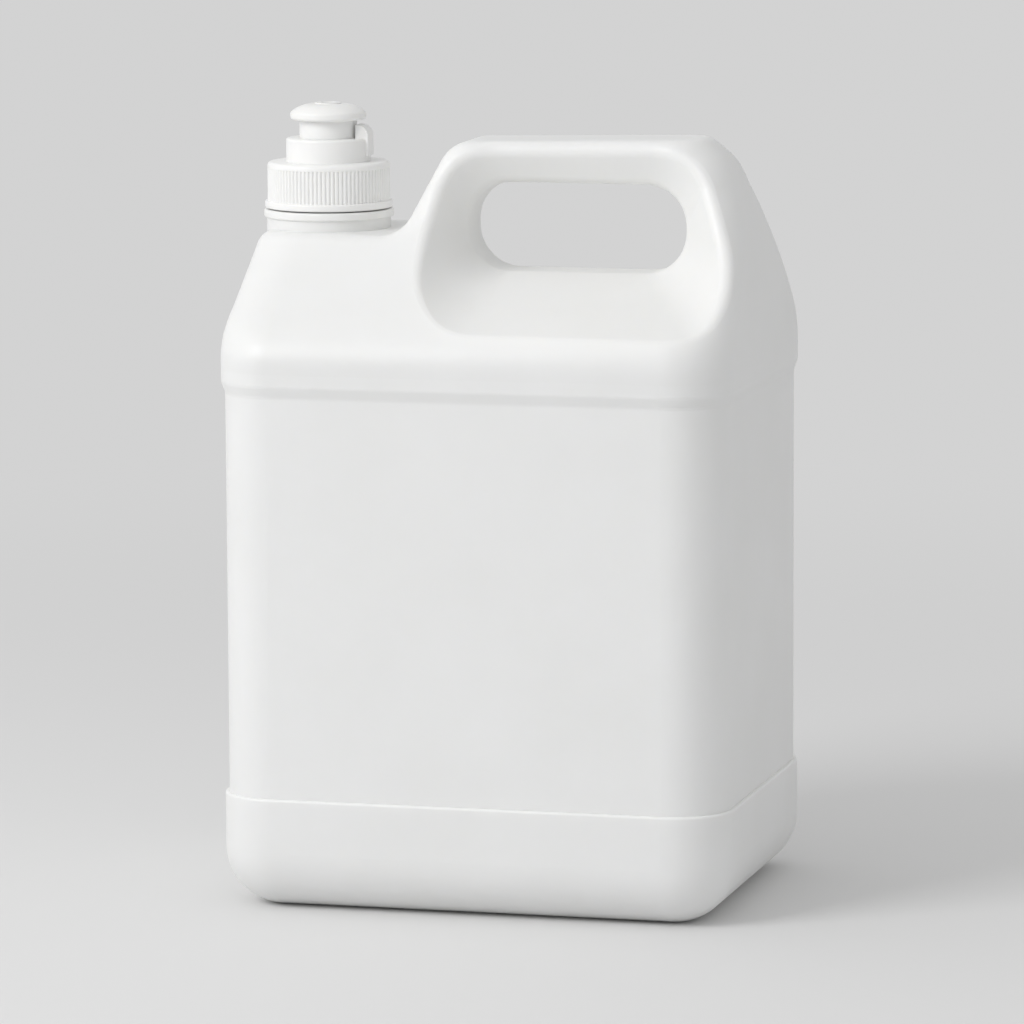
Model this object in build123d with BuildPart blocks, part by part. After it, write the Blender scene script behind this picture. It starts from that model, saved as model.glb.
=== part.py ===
from build123d import *
from math import atan2, pi, tan
import os

# Body of the jug
body_width = 180.0
body_depth = 137.5
corner_radius = 21.0
base_radius = 20.5
wall = 1.3
base_ring = 6.0
base_push_up = 2.0

# Recessed panel that runs round the body
panel_low = 39.5
upper_band = 14.3
panel_depth = 1.4
panel_slope = 3.7
panel_edge = 0.8
panel_ease = 3.0

# Shoulder between the body and the handle
shoulder_height = 196.0
shoulder_ease = 5.0
platform_rise = 34.2
platform_ease = 7.0
platform_margin = 0.9
ridge_depth = 30.3
neck_lean = 2.4

# Handle
handle_rise = 33.4
handle_tilt = 0.02
handle_depth = 28.0
end_lean = 14.0
end_curve = 2.2
end_round = 6.0
end_round_rise = 14.0
foot_distance = 33.0
foot_radius = 10.0
leg_run = 14.5
leg_radius = 12.0
handle_edge = 7.0

# Finger hole and the dish that leads to it on both faces
hole_left = 52.6
hole_end = 26.4
hole_drop = 13.2
bar_height = 16.2
hole_radius = 14.6
hole_land = 8.0
hole_edge = 6.0
dish_left = 0.41
dish_right = 0.72
dish_floor = 0.29
dish_roof = 1.4
dish_left_radius = 42.0
dish_right_radius = 28.0
dish_roof_radius = 34.0
dish_edge = 3.5
dish_wall = 4.2

# Neck
neck_inset = 24.0
neck_radius = 21.6
neck_ring_radius = 22.6
neck_ring_low = 3.7
neck_ring_width = 2.8
neck_ring_edge = 0.7
finish_radius = 17.4
finish_height = 20.4
neck_bore = 15.2
neck_wall = 1.8

# Closure that screws on to the neck
closure_gap = 0.45
closure_height = 16.05
closure_inner = 19.0
closure_radius = 21.3
closure_edge = 1.6
flange_radius = 22.2
flange_height = 2.5
rib_count = 90
rib_depth = 0.5
rib_width = 0.95
rib_top_gap = 2.2
liner_height = 1.0
liner_margin = 0.3
tower_radius = 14.7
tower_height = 8.1
tower_edge = 0.8
tube_wall = 1.4
tube_drop = 7.4
spoke_count = 3
spoke_width = 2.6
spoke_height = 1.6
pin_radius = 2.4
lug_radius = 15.3
lug_height = 12.8
lug_width = 7.0
lug_drop = 10.6
lug_round = 4.0
lug_gap = 0.8

# Pull spout that slides in the closure
stem_radius = 10.0
stem_wall = 1.6
slide_gap = 0.15
floor_gap = 0.3
bead_height = 1.2
bead_reach = 0.9
spout_travel = 5.0
stop_gap = 0.1
head_radius = 13.2
head_low = 14.4
head_rim = 2.5
head_edge = 1.1
head_height = 19.9
dome_radius = 12.0
boss_radius = 4.6
boss_height = 0.4
plate_height = 1.8
tip_drop = 0.2

panel_high = shoulder_height - upper_band
platform_height = shoulder_height + platform_rise
handle_height = platform_height + handle_rise
neck_x = neck_inset - body_width / 2
platform_half = neck_ring_radius + platform_margin
hole_x = neck_x + hole_left
hole_length = body_width / 2 - hole_end - hole_x
hole_low = platform_height - hole_drop
hole_rise = handle_height - bar_height - hole_low
ring_low_z = platform_height + neck_ring_low
ring_high_z = ring_low_z + neck_ring_width
rim_z = platform_height + finish_height
deck_low_z = rim_z + liner_height
skirt_low_z = ring_high_z + closure_gap
deck_z = skirt_low_z + closure_height
dish_reach = body_depth / 2 + dish_edge
tower_z = deck_z + tower_height
chamber_radius = stem_radius + bead_reach + slide_gap
tube_radius = chamber_radius + tube_wall
tube_low_z = deck_low_z - tube_drop
spoke_z = tube_low_z + spoke_height
stem_low_z = spoke_z + floor_gap
bead_z = stem_low_z + bead_height
stop_z = bead_z + spout_travel + stop_gap
head_low_z = deck_z + head_low
head_rim_z = head_low_z + head_rim
head_z = deck_z + head_height
boss_z = head_z + boss_height
pin_z = boss_z - tip_drop
neck_axis = Axis((neck_x, 0, 0), (0, 0, 1))
neck_plane = Plane((neck_x, 0, 0), x_dir=(1, 0, 0), z_dir=(0, -1, 0))


def eased(distance, ease):
    """Ramp from nought that starts softly over twice the ease."""
    if distance <= -ease:
        return 0.0
    if distance >= ease:
        return distance
    return (distance + ease) ** 2 / (4 * ease)


def section_sizes(height):
    """Ends and half depths of the upper form at one height."""
    rise = eased(height - shoulder_height, shoulder_ease)
    over = eased(height - platform_height, platform_ease)
    span = handle_height - shoulder_height
    shoulder_rise = platform_height - shoulder_height
    left_slope = (body_depth / 2 - platform_half) / shoulder_rise
    ridge_slope = (platform_half - ridge_depth / 2) / (handle_height - platform_height)
    right_slope = (body_depth - handle_depth) / 2 / span
    half_left = body_depth / 2 - left_slope * rise + (left_slope - ridge_slope) * over
    half_right = body_depth / 2 - right_slope * rise
    left = neck_lean * rise / shoulder_rise - body_width / 2
    rounding = max(0.0, 1 - (handle_height - height) / end_round_rise)
    right = body_width / 2 - end_lean * (rise / span) ** end_curve - end_round * rounding ** 2
    return left, right, half_left, half_right


def corner_limit(half, other_half, length):
    """Largest radius that fits both corners at one end of a trapezoid."""
    taper = atan2(half - other_half, length)
    return half / tan(pi / 4 + taper / 2)


def upper_form(inset):
    """Shoulder and handle without the finger hole, drawn in by the inset."""
    low = shoulder_height - shoulder_ease
    middle = platform_height - platform_ease
    top = platform_height + platform_ease
    heights = [low - shoulder_ease, low]
    heights += [low + (middle - low) * step / 4 for step in range(1, 5)]
    heights += [platform_height, top]
    heights += [top + (handle_height - top) * step / 5 for step in range(1, 6)]
    heights += [handle_height + shoulder_ease]
    with BuildPart() as form:
        for height in heights:
            left, right, half_left, half_right = section_sizes(height + inset)
            left = left + inset
            right = right - inset
            half_left = half_left - inset
            half_right = half_right - inset
            limit_left = 0.95 * corner_limit(half_left, half_right, right - left)
            limit_right = 0.82 * corner_limit(half_right, half_left, right - left)
            with BuildSketch(Plane.XY.offset(height)) as outline:
                Polygon((left, -half_left), (right, -half_right), (right, half_right),
                        (left, half_left), align=None)
                fillet(outline.vertices().sort_by(Axis.X)[:2], min(corner_radius - inset, limit_left))
                fillet(outline.vertices().sort_by(Axis.X)[-2:], min(corner_radius - inset, limit_right))
        loft()
        foot = (neck_x + foot_distance + inset, platform_height - inset)
        leg_x = neck_x + foot_distance + leg_run + inset
        end_x = body_width / 2
        top_end = end_x - end_lean - end_round
        leg = (leg_x, handle_height - inset - handle_tilt * (top_end - leg_x))
        end = (end_x, handle_height - inset + handle_tilt * (end_x - top_end))
        with BuildSketch(Plane.XZ) as profile:
            with BuildLine():
                Polyline((-end_x, 0), (-end_x, foot[1]), foot, leg, end, (end_x, 0), close=True)
            make_face()
            fillet(profile.vertices().sort_by_distance(foot)[:1], foot_radius + inset)
            fillet(profile.vertices().sort_by_distance(leg)[:1], leg_radius - inset)
        extrude(amount=body_depth, both=True, mode=Mode.INTERSECT)
        tops = form.faces().filter_by(lambda face: face.geom_type != GeomType.BSPLINE)
        tops = tops.filter_by(lambda face: face.center().Z > low)
        rims = [edge for face in tops for edge in face.edges() if edge.geom_type != GeomType.LINE]
        fillet(rims, handle_edge - inset)
    return form.part


def body_outline(height, inset):
    """Rounded outline of the body at one height, drawn in by the inset."""
    with BuildSketch(Plane.XY.offset(height)) as outline:
        RectangleRounded(body_width - 2 * inset, body_depth - 2 * inset, corner_radius - inset)
    return outline.sketch


def lower_form(inset):
    """Body below the shoulder with its recessed panel, drawn in by the inset."""
    low = shoulder_height - 2 * shoulder_ease
    ledge = panel_low - inset
    slope_low = panel_high - panel_slope
    with BuildPart() as form:
        extrude(body_outline(inset, inset), amount=ledge - inset)
        fillet(form.faces().sort_by(Axis.Z)[0].edges(), min(base_radius, 0.98 * corner_radius) - inset)
        extrude(body_outline(ledge, panel_depth + inset), amount=slope_low - ledge)
        loft([body_outline(slope_low, panel_depth + inset), body_outline(panel_high, inset)], ruled=True)
        extrude(body_outline(panel_high, inset), amount=low - panel_high)
        with BuildSketch():
            RectangleRounded(body_width - 2 * (base_radius + base_ring - inset),
                             body_depth - 2 * (base_radius + base_ring - inset), corner_radius)
        extrude(amount=base_push_up + inset, mode=Mode.SUBTRACT)
    return form.part


def dish_form(grow):
    """Finger hole that widens to a dish on both faces, grown by a wall."""
    with BuildPart() as form:
        for reach in (hole_land, dish_reach):
            spread = reach - hole_land
            left = hole_x - dish_left * spread - grow
            right = hole_x + hole_length + dish_right * spread + grow
            low = hole_low - dish_floor * spread - grow
            high = hole_low + hole_rise + dish_roof * spread + grow
            share = spread / (dish_reach - hole_land)
            limit = 0.48 * min(right - left, high - low)
            round_left = min(hole_radius + share * (dish_left_radius - hole_radius) + grow, limit)
            round_right = min(hole_radius + share * (dish_right_radius - hole_radius) + grow, limit)
            round_roof = min(hole_radius + share * (dish_roof_radius - hole_radius) + grow, limit)
            with BuildSketch(Plane.XZ.offset(reach)) as outline:
                Polygon((left, low), (right, low), (right, high), (left, high), align=None)
                fillet(outline.vertices().sort_by_distance((left, low))[:1], round_left)
                fillet(outline.vertices().sort_by_distance((right, low))[:1], round_right)
                fillet(outline.vertices().sort_by_distance((right, high))[:1], round_roof)
                fillet(outline.vertices().sort_by_distance((left, high))[:1], round_roof)
        loft(ruled=True)
        mouth = form.faces().filter_by(Plane.XZ).sort_by(Axis.Y)[-1]
        extrude(mouth, amount=hole_land)
        mirror(about=Plane.XZ)
    return form.part


# Jug, one hollow moulding with its handle and open neck
dish = dish_form(0.0)
with BuildPart() as cavity:
    add(lower_form(wall))
    add(upper_form(wall))
    add(dish_form(dish_wall), mode=Mode.SUBTRACT)

with BuildPart() as jug_body:
    add(lower_form(0.0))
    levels = jug_body.faces().filter_by(Axis.Z)
    ledge = levels.filter_by(lambda face: abs(face.center().Z - panel_low) < 0.01)[0]
    fillet(ledge.outer_wire().edges(), min(panel_edge, 0.9 * panel_depth))
    slope_low = panel_high - panel_slope
    slope_edges = jug_body.edges().filter_by(lambda edge: abs(edge.center().Z - slope_low) < 0.01)
    slope_edges += jug_body.edges().filter_by(lambda edge: abs(edge.center().Z - panel_high) < 0.01)
    fillet(slope_edges, panel_ease)
    add(upper_form(0.0))
    add(dish, mode=Mode.SUBTRACT)
    lips = jug_body.edges()
    lips = lips.filter_by(lambda edge: min(abs((edge @ 0).Y), abs((edge @ 1).Y)) > hole_land + 1)
    lips = lips.filter_by(lambda edge: dish.distance_to(edge @ 0.5) < 0.01)
    fillet(lips, dish_edge)
    brims = jug_body.edges()
    brims = brims.filter_by(lambda edge: abs(abs((edge @ 0).Y) - hole_land) < 0.01)
    brims = brims.filter_by(lambda edge: abs(abs((edge @ 1).Y) - hole_land) < 0.01)
    brims = brims.filter_by(lambda edge: dish.distance_to(edge @ 0.5) < 0.01)
    fillet(brims, hole_edge)
    with BuildSketch(neck_plane) as neck_profile:
        with BuildLine():
            Polyline((0, shoulder_height), (neck_radius, shoulder_height), (neck_radius, ring_low_z),
                     (neck_ring_radius, ring_low_z), (neck_ring_radius, ring_high_z),
                     (finish_radius, ring_high_z), (finish_radius, rim_z), (0, rim_z), close=True)
        make_face()
        ring_corners = neck_profile.vertices().sort_by(Axis.X)[-2:]
        fillet(ring_corners, neck_ring_edge)
    revolve(axis=neck_axis)
    add(cavity.part, mode=Mode.SUBTRACT)
    with BuildSketch(neck_plane):
        with BuildLine():
            Polyline((0, shoulder_height), (neck_radius - neck_wall, shoulder_height),
                     (neck_radius - neck_wall, ring_low_z), (neck_bore, ring_high_z + neck_wall),
                     (neck_bore, rim_z), (0, rim_z), close=True)
        make_face()
    revolve(axis=neck_axis, mode=Mode.SUBTRACT)

# Sealing ring between the rim of the neck and the closure
with BuildPart() as seal_liner:
    with BuildSketch(Plane((neck_x, 0, rim_z))):
        Circle(closure_inner - liner_margin)
        Circle(tube_radius + liner_margin, mode=Mode.SUBTRACT)
    extrude(amount=liner_height)

# Closure with ribbed skirt, guide tower, side lug and plug pin
with BuildPart() as closure:
    with BuildSketch(neck_plane) as closure_profile:
        with BuildLine():
            Polyline((closure_inner, skirt_low_z), (flange_radius, skirt_low_z),
                     (flange_radius, skirt_low_z + flange_height),
                     (closure_radius, skirt_low_z + flange_height), (closure_radius, deck_z),
                     (tower_radius, deck_z), (tower_radius, tower_z),
                     (stem_radius + slide_gap, tower_z), (stem_radius + slide_gap, stop_z),
                     (chamber_radius, stop_z), (chamber_radius, tube_low_z), (tube_radius, tube_low_z),
                     (tube_radius, deck_low_z), (closure_inner, deck_low_z), close=True)
        make_face()
        fillet(closure_profile.vertices().sort_by_distance((closure_radius, deck_z))[:1], closure_edge)
        fillet(closure_profile.vertices().sort_by_distance((tower_radius, tower_z))[:1], tower_edge)
        flange_corners = closure_profile.vertices().sort_by(Axis.X)[-2:]
        fillet(flange_corners, flange_height / 4)
    revolve(axis=neck_axis)
    with BuildSketch(Plane((neck_x, 0, skirt_low_z + flange_height))):
        with PolarLocations(closure_radius, rib_count):
            Polygon((-rib_depth, 0), (rib_depth, -rib_width), (rib_depth, rib_width), align=None)
    extrude(amount=closure_height - flange_height - rib_top_gap, mode=Mode.SUBTRACT)
    with BuildSketch(Plane((neck_x, 0, tube_low_z))):
        Circle(pin_radius)
    extrude(amount=pin_z - tube_low_z)
    with BuildSketch(Plane((neck_x, 0, tube_low_z))):
        with PolarLocations(chamber_radius / 2, spoke_count):
            Rectangle(chamber_radius + tube_wall, spoke_width)
    extrude(amount=spoke_height)
    with BuildSketch(neck_plane) as lug_profile:
        with BuildLine():
            Polyline((stem_radius + lug_gap, tower_z - tower_edge),
                     (stem_radius + lug_gap, deck_z + lug_height),
                     (lug_radius, deck_z + lug_height), (lug_radius, deck_z + lug_height - lug_drop),
                     (tower_radius - tower_edge, deck_z + lug_height - lug_drop),
                     (tower_radius - tower_edge, tower_z - tower_edge), close=True)
        make_face()
        lug_corner = lug_profile.vertices().sort_by_distance((lug_radius, deck_z + lug_height))[:1]
        fillet(lug_corner, min(lug_round, 0.9 * (lug_radius - stem_radius - lug_gap)))
    extrude(amount=lug_width / 2, both=True)

# Pull spout, a stem with a domed head and a pouring hole
with BuildPart() as pull_spout:
    with BuildSketch(neck_plane) as spout_profile:
        with BuildLine():
            Polyline((stem_radius - stem_wall, head_rim_z - plate_height),
                     (stem_radius - stem_wall, stem_low_z), (stem_radius + bead_reach, stem_low_z),
                     (stem_radius + bead_reach, bead_z),
                     (stem_radius, bead_z), (stem_radius, head_low_z),
                     (head_radius, head_low_z), (head_radius, head_rim_z))
            RadiusArc((boss_radius, head_z), (head_radius, head_rim_z), dome_radius)
            Polyline((boss_radius, head_z), (boss_radius, boss_z), (pin_radius + slide_gap, boss_z),
                     (pin_radius + slide_gap, head_z - plate_height),
                     (stem_radius - stem_wall, head_rim_z - plate_height))
        make_face()
        fillet(spout_profile.vertices().sort_by(Axis.X)[-2:], head_edge)
    revolve(axis=neck_axis)

jug_body.part.label = "jug_body"
seal_liner.part.label = "seal_liner"
closure.part.label = "closure"
pull_spout.part.label = "pull_spout"

os.makedirs("parts", exist_ok=True)
export_step(jug_body.part, "parts/jug_body.step")
export_step(seal_liner.part, "parts/seal_liner.step")
export_step(closure.part, "parts/closure.step")
export_step(pull_spout.part, "parts/pull_spout.step")
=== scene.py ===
"""Looks of a blank white jug with a ribbed screw closure and a pull spout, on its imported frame."""

import logging
import math
from dataclasses import dataclass
from enum import Enum

import bmesh
import bpy
from mathutils import Matrix, Vector


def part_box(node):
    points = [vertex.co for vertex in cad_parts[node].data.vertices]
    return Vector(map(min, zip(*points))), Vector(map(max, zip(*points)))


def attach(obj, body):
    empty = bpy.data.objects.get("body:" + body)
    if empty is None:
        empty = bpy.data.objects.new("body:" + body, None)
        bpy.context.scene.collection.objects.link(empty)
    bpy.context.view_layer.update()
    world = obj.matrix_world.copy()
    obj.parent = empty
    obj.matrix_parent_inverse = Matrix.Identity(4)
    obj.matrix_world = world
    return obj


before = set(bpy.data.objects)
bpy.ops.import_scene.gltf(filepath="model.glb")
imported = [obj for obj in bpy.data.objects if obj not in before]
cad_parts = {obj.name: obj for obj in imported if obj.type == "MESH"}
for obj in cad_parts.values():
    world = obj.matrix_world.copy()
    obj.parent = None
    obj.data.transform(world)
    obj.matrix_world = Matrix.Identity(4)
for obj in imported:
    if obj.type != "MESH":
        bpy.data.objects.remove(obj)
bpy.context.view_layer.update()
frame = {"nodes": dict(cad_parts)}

MM = 0.001

log = logging.getLogger("jug")


class Gloss(Enum):
    """Surface roughness of the finishes."""

    GLOSSY = 0.36
    SATIN = 0.40
    MATTE = 0.62


class Octaves(Enum):
    """How much fine detail a noise holds."""

    SMOOTH = 1.0
    SOFT = 2.0
    CLOUDY = 3.0


class Side(Enum):
    """Which way a thread ridge stands from its wall."""

    OUTWARD = 1.0
    INWARD = -1.0


@dataclass(frozen=True)
class MouldedPlastic:
    """A pale moulded plastic with a faint mottle, an uneven gloss and a fine skin.

    Args:
        name: name of the material.
        colour: base colour, linear.
        shade: colour of the faint darker patches, linear.
        gloss: how rough the surface is.
        glow: share of light that scatters inside the wall.
        reach_mm: how far that light travels in the wall.
        patch_mm: size of the mottled patches.
        skin_mm: size of the grains of the skin.
        skin_depth: strength of the skin's relief.
        wave_mm: size of the slow waves in the wall.
        wave_depth_mm: height of those waves.
        skin_height_mm: full height of the skin's relief.
        refraction: index of refraction of the plastic.
        scatter: reach of red, green and blue light, as shares of reach_mm.
        mottle_range: noise values between which the patches fade.
        smear_share: size of the smears in the gloss, as a share of patch_mm.
        polish_range: lowest and highest roughness, as shares of the gloss.
    """

    name: str
    colour: tuple[float, float, float]
    shade: tuple[float, float, float]
    gloss: Gloss
    glow: float
    reach_mm: float
    patch_mm: float
    skin_mm: float
    skin_depth: float
    wave_mm: float
    wave_depth_mm: float
    skin_height_mm: float = 0.05
    refraction: float = 1.5
    scatter: tuple[float, float, float] = (1.0, 0.95, 0.82)
    mottle_range: tuple[float, float] = (0.32, 0.68)
    smear_share: float = 0.4
    polish_range: tuple[float, float] = (0.9, 1.12)

    def material(self) -> bpy.types.Material:
        """Builds the material.

        Returns:
            The finished node material.
        """
        made = bpy.data.materials.new(self.name)
        made.use_nodes = True
        tree = made.node_tree
        shader = tree.nodes["Principled BSDF"]
        shader.inputs["IOR"].default_value = self.refraction
        shader.inputs["Subsurface Weight"].default_value = self.glow
        shader.inputs["Subsurface Radius"].default_value = self.scatter
        shader.inputs["Subsurface Scale"].default_value = self.reach_mm * MM
        place = tree.nodes.new("ShaderNodeTexCoord").outputs["Object"]
        tree.links.new(self._mottle(tree, place), shader.inputs["Base Color"])
        tree.links.new(self._polish(tree, place), shader.inputs["Roughness"])
        tree.links.new(self._relief(tree, place), shader.inputs["Normal"])
        return made

    def _mottle(self, tree: bpy.types.NodeTree, place: bpy.types.NodeSocket) -> bpy.types.NodeSocket:
        """Adds the colour with its faint darker patches.

        Args:
            tree: node tree of the material.
            place: the texture coordinates.

        Returns:
            The socket of the colour.
        """
        ramp = tree.nodes.new("ShaderNodeValToRGB")
        stops = zip(ramp.color_ramp.elements, self.mottle_range, (self.shade, self.colour))
        for stop, position, colour in stops:
            stop.position = position
            stop.color = (*colour, 1.0)
        tree.links.new(self._noise(tree, place, self.patch_mm, Octaves.CLOUDY), ramp.inputs["Fac"])
        return ramp.outputs["Color"]

    def _polish(self, tree: bpy.types.NodeTree, place: bpy.types.NodeSocket) -> bpy.types.NodeSocket:
        """Adds the uneven gloss.

        Args:
            tree: node tree of the material.
            place: the texture coordinates.

        Returns:
            The socket of the roughness.
        """
        least, most = self.polish_range
        polish = tree.nodes.new("ShaderNodeMapRange")
        polish.inputs["To Min"].default_value = least * self.gloss.value
        polish.inputs["To Max"].default_value = most * self.gloss.value
        smear = self._noise(tree, place, self.smear_share * self.patch_mm, Octaves.SOFT)
        tree.links.new(smear, polish.inputs["Value"])
        return polish.outputs["Result"]

    def _relief(self, tree: bpy.types.NodeTree, place: bpy.types.NodeSocket) -> bpy.types.NodeSocket:
        """Adds the slow waves of the wall and the fine skin on them.

        Args:
            tree: node tree of the material.
            place: the texture coordinates.

        Returns:
            The socket of the normal.
        """
        sway = tree.nodes.new("ShaderNodeBump")
        sway.inputs["Strength"].default_value = 1.0
        sway.inputs["Distance"].default_value = self.wave_depth_mm * MM
        tree.links.new(self._noise(tree, place, self.wave_mm, Octaves.SMOOTH), sway.inputs["Height"])
        skin = tree.nodes.new("ShaderNodeBump")
        skin.inputs["Strength"].default_value = self.skin_depth
        skin.inputs["Distance"].default_value = self.skin_height_mm * MM
        tree.links.new(self._noise(tree, place, self.skin_mm, Octaves.SOFT), skin.inputs["Height"])
        tree.links.new(sway.outputs["Normal"], skin.inputs["Normal"])
        return skin.outputs["Normal"]

    @staticmethod
    def _noise(tree: bpy.types.NodeTree, place: bpy.types.NodeSocket, size_mm: float,
               octaves: Octaves) -> bpy.types.NodeSocket:
        """Adds a noise whose features are about size_mm across.

        Args:
            tree: node tree of the material.
            place: the texture coordinates.
            size_mm: size of the features.
            octaves: how much fine detail they hold.

        Returns:
            The socket of the noise.
        """
        noise = tree.nodes.new("ShaderNodeTexNoise")
        noise.inputs["Scale"].default_value = 1.0 / (size_mm * MM)
        noise.inputs["Detail"].default_value = octaves.value
        tree.links.new(place, noise.inputs["Vector"])
        return noise.outputs["Fac"]


JUG_PLASTIC = MouldedPlastic(
    name="jug_plastic_look",
    colour=(0.885, 0.885, 0.872),
    shade=(0.862, 0.862, 0.845),
    gloss=Gloss.SATIN,
    glow=0.25,
    reach_mm=6.0,
    patch_mm=45.0,
    skin_mm=1.6,
    skin_depth=0.25,
    wave_mm=38.0,
    wave_depth_mm=0.5,
)
CLOSURE_PLASTIC = MouldedPlastic(
    name="closure_plastic_look",
    colour=(0.9, 0.9, 0.892),
    shade=(0.88, 0.88, 0.87),
    gloss=Gloss.GLOSSY,
    glow=0.12,
    reach_mm=2.0,
    patch_mm=14.0,
    skin_mm=0.8,
    skin_depth=0.15,
    wave_mm=12.0,
    wave_depth_mm=0.03,
)
SPOUT_PLASTIC = MouldedPlastic(
    name="spout_plastic_look",
    colour=(0.895, 0.895, 0.885),
    shade=(0.872, 0.872, 0.86),
    gloss=Gloss.GLOSSY,
    glow=0.2,
    reach_mm=2.5,
    patch_mm=12.0,
    skin_mm=0.8,
    skin_depth=0.15,
    wave_mm=12.0,
    wave_depth_mm=0.03,
)
LINER_FOAM = MouldedPlastic(
    name="liner_foam_look",
    colour=(0.84, 0.84, 0.82),
    shade=(0.78, 0.78, 0.76),
    gloss=Gloss.MATTE,
    glow=0.1,
    reach_mm=1.0,
    patch_mm=4.0,
    skin_mm=0.35,
    skin_depth=0.6,
    wave_mm=6.0,
    wave_depth_mm=0.02,
)


def finish_pieces(pieces: list[bpy.types.Object], finish: MouldedPlastic) -> None:
    """Gives each piece one shared finish.

    Args:
        pieces: objects to dress.
        finish: finish that they take.
    """
    made = finish.material()
    for piece in pieces:
        piece.data.materials.clear()
        piece.data.materials.append(made)


@dataclass
class ThreadRidge:
    """One helical ridge of the screw thread between the neck and the closure, in metres.

    Args:
        wall_radius: radius of the wall that the ridge stands on.
        height: how far the ridge stands from the wall.
        root: width of the ridge at the wall.
        crest: width of the ridge at its top.
        turns: number of turns.
        side: whether the ridge stands outward or inward.
        start_turn: turn at which the ridge starts.
        pitch: rise in one turn.
        drop: how far below the sealing ring the ridge starts.
        steps_per_turn: cross-sections in one turn.
        fade_turns: turns over which the ridge rises from the wall at each end.
        sunk: how far its foot is sunk in the wall.
        crease: angle above which an edge is sharp, in degrees.
    """

    wall_radius: float
    height: float
    root: float
    crest: float
    turns: float
    side: Side
    start_turn: float = 0.0
    pitch: float = 4.2 * MM
    drop: float = 9.0 * MM
    steps_per_turn: int = 120
    fade_turns: float = 0.12
    sunk: float = 0.1 * MM
    crease: float = 32.0

    def build(self, name: str, body: str, slot: str) -> bpy.types.Object:
        """Builds the ridge and rides it on a body.

        Args:
            name: name of the piece.
            body: body that carries it.
            slot: material slot of the record; not used.

        Returns:
            The ridge.
        """
        low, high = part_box("seal_liner")
        start = Vector(((low.x + high.x) / 2, (low.y + high.y) / 2, low.z - self.drop))
        mesh = bmesh.new()
        steps = round(self.turns * self.steps_per_turn)
        rings = [self._ring(mesh, start, step / self.steps_per_turn) for step in range(steps + 1)]
        for before, after in zip(rings, rings[1:]):
            for corner in range(len(before)):
                other = (corner + 1) % len(before)
                mesh.faces.new((before[corner], before[other], after[other], after[corner]))
        mesh.faces.new(rings[0][::-1])
        mesh.faces.new(rings[-1])
        bmesh.ops.recalc_face_normals(mesh, faces=mesh.faces[:])
        for face in mesh.faces:
            face.smooth = True
        data = bpy.data.meshes.new(name)
        mesh.to_mesh(data)
        mesh.free()
        data.set_sharp_from_angle(angle=math.radians(self.crease))
        ridge = bpy.data.objects.new(name, data)
        bpy.context.scene.collection.objects.link(ridge)
        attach(ridge, body)
        return ridge

    def _ring(self, mesh: bmesh.types.BMesh, start: Vector, turn: float) -> list[bmesh.types.BMVert]:
        """Makes one cross-section of the ridge.

        Args:
            mesh: mesh that takes the vertices.
            start: point on the axis at the start of the ridge.
            turn: turns from the start of the ridge.

        Returns:
            The vertices of the section, in order.
        """
        fade = min(1.0, turn / self.fade_turns, (self.turns - turn) / self.fade_turns)
        stand = self.height * math.sin(fade * math.pi / 2)
        angle = 2 * math.pi * (turn + self.start_turn)
        out = Vector((math.cos(angle), math.sin(angle), 0.0))
        lift = Vector((0.0, 0.0, self.pitch * turn))
        profile = [(-self.sunk, -self.root / 2), (stand, -self.crest / 2),
                   (stand, self.crest / 2), (-self.sunk, self.root / 2)]
        ring = []
        for reach, rise in profile:
            radius = self.wall_radius + self.side.value * reach
            corner = start + out * radius + lift + Vector((0.0, 0.0, rise))
            ring.append(mesh.verts.new(corner))
        return ring


@dataclass
class Jug:
    """The blown jug and the thread on its neck, in metres.

    Args:
        finish_radius: radius of the neck's wall under the thread.
        thread_height: how far the thread stands out.
        thread_root: width of the thread at the wall.
        thread_crest: width of the thread at its top.
        thread_turns: number of turns.
    """

    finish_radius: float = 17.4 * MM
    thread_height: float = 1.05 * MM
    thread_root: float = 2.3 * MM
    thread_crest: float = 0.9 * MM
    thread_turns: float = 1.5

    def build(self) -> list[bpy.types.Object]:
        """Builds the neck's thread and dresses the jug.

        Returns:
            The pieces of the jug.
        """
        thread = ThreadRidge(self.finish_radius, self.thread_height, self.thread_root,
                             self.thread_crest, self.thread_turns, Side.OUTWARD)
        ridge = thread.build("neck_thread", "jug", "jug_plastic")
        pieces = [frame["nodes"]["jug_body"], ridge]
        self.dress(pieces)
        return pieces

    @staticmethod
    def dress(pieces: list[bpy.types.Object]) -> None:
        """Gives the pieces the jug's plastic."""
        finish_pieces(pieces, JUG_PLASTIC)


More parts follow.
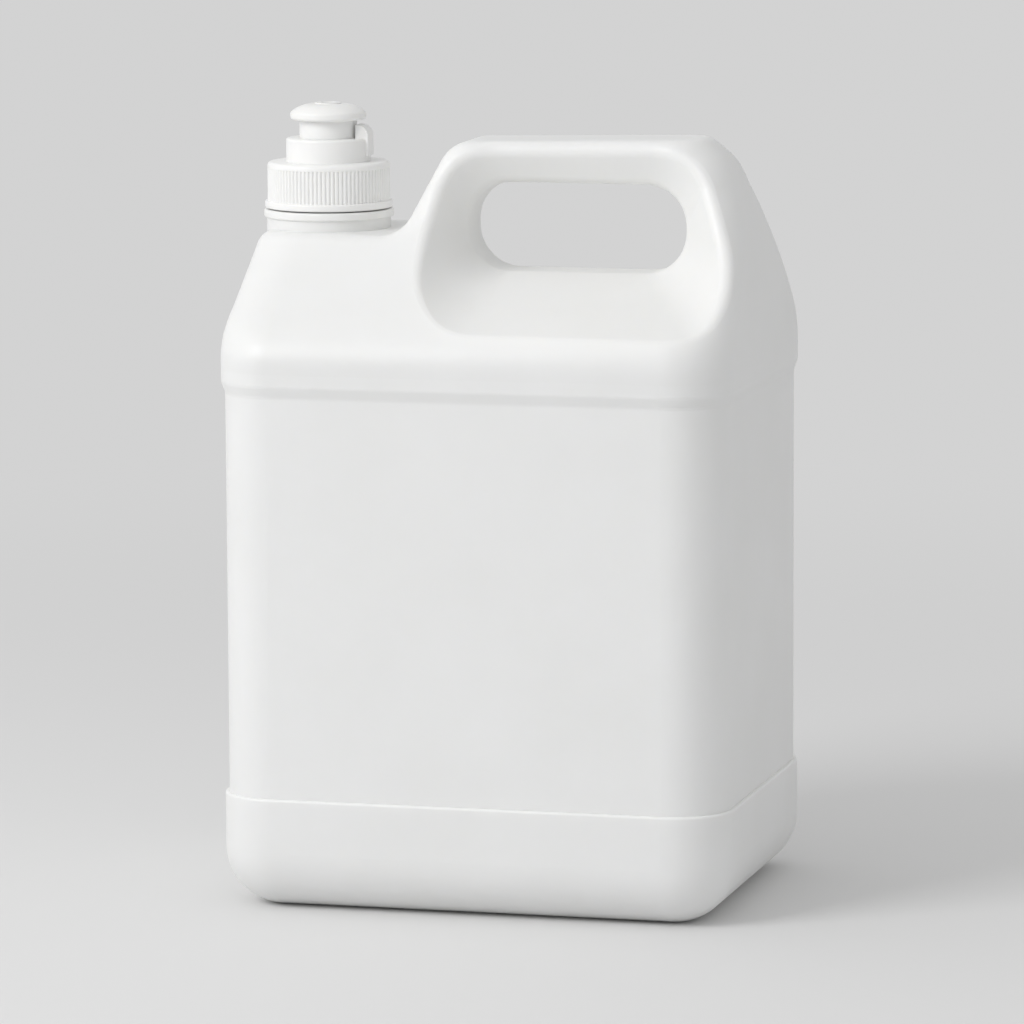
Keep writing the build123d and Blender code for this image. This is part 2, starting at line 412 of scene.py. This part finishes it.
@dataclass
class Closure:
    """The screw closure, its inner thread, its sealing ring and its pull spout, in metres.

    Args:
        inner_radius: radius of the skirt's inner wall.
        thread_height: how far the thread stands in.
        thread_root: width of the thread at the wall.
        thread_crest: width of the thread at its top.
        thread_turns: number of turns.
        thread_start: turns from the start of the neck's thread.
    """

    inner_radius: float = 19.0 * MM
    thread_height: float = 1.2 * MM
    thread_root: float = 2.0 * MM
    thread_crest: float = 0.8 * MM
    thread_turns: float = 1.25
    thread_start: float = 0.5

    def build(self) -> list[bpy.types.Object]:
        """Builds the inner thread and dresses the pieces.

        Returns:
            The pieces of the closure.
        """
        thread = ThreadRidge(self.inner_radius, self.thread_height, self.thread_root,
                             self.thread_crest, self.thread_turns, Side.INWARD, self.thread_start)
        ridge = thread.build("closure_thread", "cap", "closure_plastic")
        nodes = frame["nodes"]
        pieces = [nodes["closure"], ridge, nodes["pull_spout"], nodes["seal_liner"]]
        self.dress(*pieces)
        return pieces

    @staticmethod
    def dress(closure: bpy.types.Object, ridge: bpy.types.Object, spout: bpy.types.Object,
              liner: bpy.types.Object) -> None:
        """Gives each piece of the closure its finish.

        Args:
            closure: the screw closure.
            ridge: its inner thread.
            spout: the pull spout.
            liner: the sealing ring.
        """
        finish_pieces([closure, ridge], CLOSURE_PLASTIC)
        finish_pieces([spout], SPOUT_PLASTIC)
        finish_pieces([liner], LINER_FOAM)


@dataclass(frozen=True)
class SoftLamp:
    """A square soft box that points at the jug.

    Args:
        name: name of the lamp.
        place: where it stands, in metres.
        size: its side, in metres.
        power: its power, in watts.
    """

    name: str
    place: tuple[float, float, float]
    size: float
    power: float

    def build(self, target: Vector) -> bpy.types.Object:
        """Builds the lamp.

        Args:
            target: point that it faces.

        Returns:
            The lamp.
        """
        data = bpy.data.lights.new(self.name, "AREA")
        data.shape = "SQUARE"
        data.size = self.size
        data.energy = self.power
        lamp = bpy.data.objects.new(self.name, data)
        lamp.location = self.place
        lamp.rotation_euler = (target - Vector(self.place)).to_track_quat("-Z", "Y").to_euler()
        bpy.context.scene.collection.objects.link(lamp)
        return lamp


@dataclass
class Studio:
    """Pale floor, room light that is brightest above on the left, a soft box and a low white card.

    Args:
        floor_radius: radius of the floor, in metres.
        floor_steps: corners of the floor's edge.
        floor_roughness: roughness of the floor's paper.
        floor_sheen: specular level of the floor's paper.
        near_colour: colour of the floor round the jug, linear.
        room_colour: what the camera sees of the room and the far floor, linear.
        near_radius: where the floor starts to fade into the room, in metres.
        far_radius: where it has faded, in metres.
        bright_side: direction of the brightest part of the room.
        light_low: strength of the room light on the darkest side.
        light_high: strength of the room light on the brightest side.
        key: the soft box.
        card: the low white card.
        aim: point that the lamps face, in metres.
    """

    floor_radius: float = 30.0
    floor_steps: int = 96
    floor_roughness: float = 0.9
    floor_sheen: float = 0.1
    near_colour: tuple[float, float, float] = (0.755, 0.755, 0.755)
    room_colour: tuple[float, float, float] = (0.65, 0.65, 0.65)
    near_radius: float = 0.25
    far_radius: float = 1.1
    bright_side: tuple[float, float, float] = (-0.5, -0.22, 0.838)
    light_low: float = 0.2
    light_high: float = 0.83
    key: SoftLamp = SoftLamp("key", (-0.98, -1.18, 1.11), 0.8, 13.2)
    card: SoftLamp = SoftLamp("card", (1.25, -0.25, 0.2), 0.5, 0.8)
    aim: tuple[float, float, float] = (0.0, 0.0, 0.13)

    def build(self) -> list[bpy.types.Object]:
        """Builds the floor, the room light and the lamps.

        Returns:
            The floor and the lamps.
        """
        floor = self._floor()
        self._room()
        return [floor] + [lamp.build(Vector(self.aim)) for lamp in (self.key, self.card)]

    def _floor(self) -> bpy.types.Object:
        """Builds the round floor.

        Returns:
            The floor.
        """
        mesh = bmesh.new()
        bmesh.ops.create_circle(mesh, cap_ends=True, segments=self.floor_steps,
                                radius=self.floor_radius)
        data = bpy.data.meshes.new("floor")
        mesh.to_mesh(data)
        mesh.free()
        data.materials.append(self._paper())
        floor = bpy.data.objects.new("floor", data)
        bpy.context.scene.collection.objects.link(floor)
        return floor

    def _paper(self) -> bpy.types.Material:
        """Builds the floor's paper, which fades into the room far from the jug.

        Returns:
            The paper.
        """
        made = bpy.data.materials.new("floor_paper")
        made.use_nodes = True
        nodes, links = made.node_tree.nodes, made.node_tree.links
        paper = nodes["Principled BSDF"]
        paper.inputs["Base Color"].default_value = (*self.near_colour, 1.0)
        paper.inputs["Roughness"].default_value = self.floor_roughness
        paper.inputs["Specular IOR Level"].default_value = self.floor_sheen
        place = nodes.new("ShaderNodeTexCoord")
        length = nodes.new("ShaderNodeVectorMath")
        length.operation = "LENGTH"
        links.new(place.outputs["Object"], length.inputs[0])
        spread = nodes.new("ShaderNodeMapRange")
        spread.interpolation_type = "SMOOTHSTEP"
        spread.inputs["From Min"].default_value = self.near_radius
        spread.inputs["From Max"].default_value = self.far_radius
        links.new(length.outputs["Value"], spread.inputs["Value"])
        share = nodes.new("ShaderNodeMath")
        share.operation = "MULTIPLY"
        links.new(spread.outputs["Result"], share.inputs[0])
        links.new(self._looks(nodes, links), share.inputs[1])
        haze = nodes.new("ShaderNodeEmission")
        haze.inputs["Color"].default_value = (*self.room_colour, 1.0)
        mix = nodes.new("ShaderNodeMixShader")
        links.new(share.outputs["Value"], mix.inputs["Fac"])
        links.new(paper.outputs["BSDF"], mix.inputs[1])
        links.new(haze.outputs["Emission"], mix.inputs[2])
        links.new(mix.outputs["Shader"], nodes["Material Output"].inputs["Surface"])
        return made

    @staticmethod
    def _looks(nodes: bpy.types.Nodes, links: bpy.types.NodeLinks) -> bpy.types.NodeSocket:
        """Tells the rays that look at the room from those that carry its light.

        Args:
            nodes: nodes of the material or world.
            links: links of the material or world.

        Returns:
            A socket that is 1 for camera, glossy and transmission rays.
        """
        path = nodes.new("ShaderNodeLightPath")
        seen = path.outputs["Is Camera Ray"]
        for ray in ("Is Glossy Ray", "Is Transmission Ray"):
            either = nodes.new("ShaderNodeMath")
            either.operation = "MAXIMUM"
            links.new(seen, either.inputs[0])
            links.new(path.outputs[ray], either.inputs[1])
            seen = either.outputs["Value"]
        return seen

    def _room(self) -> None:
        """Sets the world to a pale room that is brightest on one side."""
        world = bpy.data.worlds.new("room")
        world.use_nodes = True
        nodes, links = world.node_tree.nodes, world.node_tree.links
        light = nodes["Background"]
        light.inputs["Color"].default_value = (1.0, 1.0, 1.0, 1.0)
        place = nodes.new("ShaderNodeTexCoord")
        facing = nodes.new("ShaderNodeVectorMath")
        facing.operation = "DOT_PRODUCT"
        facing.inputs[1].default_value = self.bright_side
        links.new(place.outputs["Generated"], facing.inputs[0])
        strength = nodes.new("ShaderNodeMapRange")
        strength.inputs["From Min"].default_value = -1.0
        strength.inputs["To Min"].default_value = self.light_low
        strength.inputs["To Max"].default_value = self.light_high
        links.new(facing.outputs["Value"], strength.inputs["Value"])
        links.new(strength.outputs["Result"], light.inputs["Strength"])
        seen = nodes.new("ShaderNodeBackground")
        seen.inputs["Color"].default_value = (*self.room_colour, 1.0)
        mix = nodes.new("ShaderNodeMixShader")
        links.new(self._looks(nodes, links), mix.inputs["Fac"])
        links.new(light.outputs["Background"], mix.inputs[1])
        links.new(seen.outputs["Background"], mix.inputs[2])
        links.new(mix.outputs["Shader"], nodes["World Output"].inputs["Surface"])
        bpy.context.scene.world = world


@dataclass
class StudioCamera:
    """Camera at the photograph's viewing angle.

    Args:
        target: point at the middle of the picture, in metres.
        distance: from that point, in metres.
        azimuth: degrees round the jug from its front, towards its handle end.
        elevation: degrees above the horizon.
        roll: degrees that the picture leans to the left.
        lens: focal length, in millimetres.
        sensor: width of the sensor, in millimetres.
        clip_start: nearest distance that the camera sees, in metres.
        clip_end: farthest distance that the camera sees, in metres.
    """

    target: tuple[float, float, float] = (-0.64 * MM, 0.13 * MM, 131.72 * MM)
    distance: float = 2245.5 * MM
    azimuth: float = 15.01
    elevation: float = 8.15
    roll: float = 0.3
    lens: float = 226.86
    sensor: float = 36.0
    clip_start: float = 0.05
    clip_end: float = 100.0

    def build(self) -> bpy.types.Object:
        """Builds the camera and makes it the scene's.

        Returns:
            The camera.
        """
        data = bpy.data.cameras.new("camera")
        data.sensor_width = self.sensor
        data.lens = self.lens
        data.clip_start = self.clip_start
        data.clip_end = self.clip_end
        camera = bpy.data.objects.new("camera", data)
        turn, rise = math.radians(self.azimuth), math.radians(self.elevation)
        level = math.cos(rise)
        back = Vector((math.sin(turn) * level, -math.cos(turn) * level, math.sin(rise)))
        right = Vector((math.cos(turn), math.sin(turn), 0.0))
        up = back.cross(right)
        place = Matrix.Translation(Vector(self.target) + back * self.distance)
        aim = Matrix((right, up, back)).transposed().to_4x4()
        lean = Matrix.Rotation(-math.radians(self.roll), 4, "Z")
        camera.matrix_world = place @ aim @ lean
        bpy.context.scene.collection.objects.link(camera)
        bpy.context.scene.camera = camera
        return camera


def main() -> None:
    """Builds every piece in order and reports it."""
    logging.basicConfig(level=logging.INFO, format="%(name)s: %(message)s")
    bpy.context.scene.view_settings.view_transform = "Standard"
    for part in (Jug(), Closure(), Studio()):
        for piece in part.build():
            log.info("%s built %s", type(part).__name__, piece.name)
    log.info("camera %s", StudioCamera().build().name)


if __name__ == "__main__":
    main()
